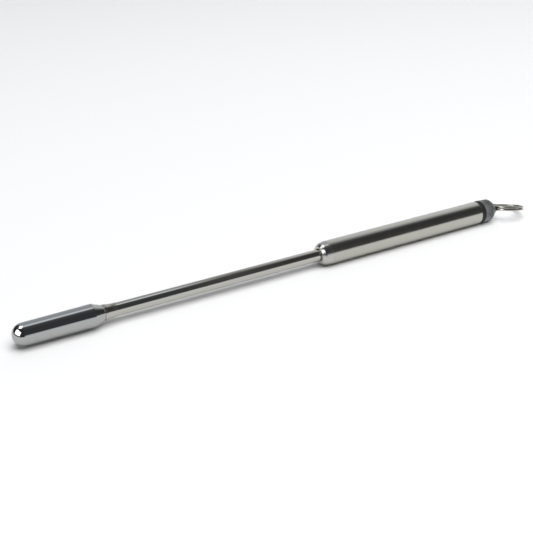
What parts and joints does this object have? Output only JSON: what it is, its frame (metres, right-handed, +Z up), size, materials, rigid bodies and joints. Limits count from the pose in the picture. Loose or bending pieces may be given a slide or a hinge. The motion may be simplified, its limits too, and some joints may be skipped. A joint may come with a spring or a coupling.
{
  "type": "magnetic pickup tool",
  "caption": "Pocket magnetic pickup tool: bullet magnet head on a sliding, turning rod in a steel handle tube, with a knurled screw cap and a split key ring.",
  "frame": {"origin": "on the lowest line of the handle tube, at the middle of the tube's length", "axes": "+X along the tool from the magnet's tip to the key ring, +Z up from the bench"},
  "size_m": [0.2351, 0.0153, 0.01],
  "materials": {
    "satin_steel": "satin stainless steel, finely brushed round the axis",
    "polished_steel": "polished stainless steel",
    "head_steel": "mirror-polished steel, slightly blue",
    "ring_steel": "bright nickel-plated spring steel wire",
    "spring_steel": "plain spring steel",
    "grey_knurl": "dark grey oxide on a knurled surface",
    "black_rubber": "matte black rubber",
    "brass": "turned brass",
    "nylon": "natural nylon",
    "nickel": "nickel-plated magnet"
  },
  "bodies": {
    "handle": {"handle_tube": "satin_steel", "nose_collar": "polished_steel", "nose_bush": "brass", "nose_wiper_ring": "black_rubber", "cap_insert": "brass", "end_bumper": "black_rubber"},
    "guide": {"guide_washer_front": "spring_steel", "guide_sleeve": "nylon", "friction_spring": "spring_steel", "guide_washer_rear": "spring_steel"},
    "rod": {"rod_tube": "polished_steel", "stop_collar": "brass", "rear_clip": "spring_steel", "rod_rear_plug": "satin_steel", "rod_front_plug": "satin_steel", "neck_ferrule": "polished_steel", "head_stud": "spring_steel", "head_body": "head_steel", "pole_tip": "head_steel", "magnet_sleeve": "brass", "magnet": "nickel", "back_plate": "satin_steel", "magnet_spring_pad": "black_rubber"},
    "cap_seal": {"cap_gasket": "black_rubber"},
    "end_cap": {"end_cap": "grey_knurl", "cap_screw": "brass", "ring_eye": "satin_steel"},
    "key_ring": {"key_ring": "ring_steel"}
  },
  "joints": [
    {"name": "rod_slide", "type": "slide", "parent": "handle", "child": "guide", "axis": [1, 0, 0], "range_m": [0, 0.0487]},
    {"name": "rod_spin", "type": "hinge", "parent": "guide", "child": "rod", "pos_m": [0, 0, 0.005], "axis": [1, 0, 0], "continuous": true},
    {"name": "cap_travel", "type": "slide", "parent": "handle", "child": "cap_seal", "axis": [1, 0, 0], "range_m": [0, 0.004]},
    {"name": "cap_turn", "type": "hinge", "parent": "cap_seal", "child": "end_cap", "pos_m": [0, 0, 0.005], "axis": [1, 0, 0], "range_deg": [0, 1800]},
    {"name": "ring_swing", "type": "hinge", "parent": "end_cap", "child": "key_ring", "pos_m": [0.0496, 0, 0.005], "axis": [0, 0.9563, -0.2924], "range_deg": [-110, 95]}
  ],
  "couplings": [
    {"joint": "cap_travel", "follows": "cap_turn", "m_per_rad": 0.0001273}
  ]
}
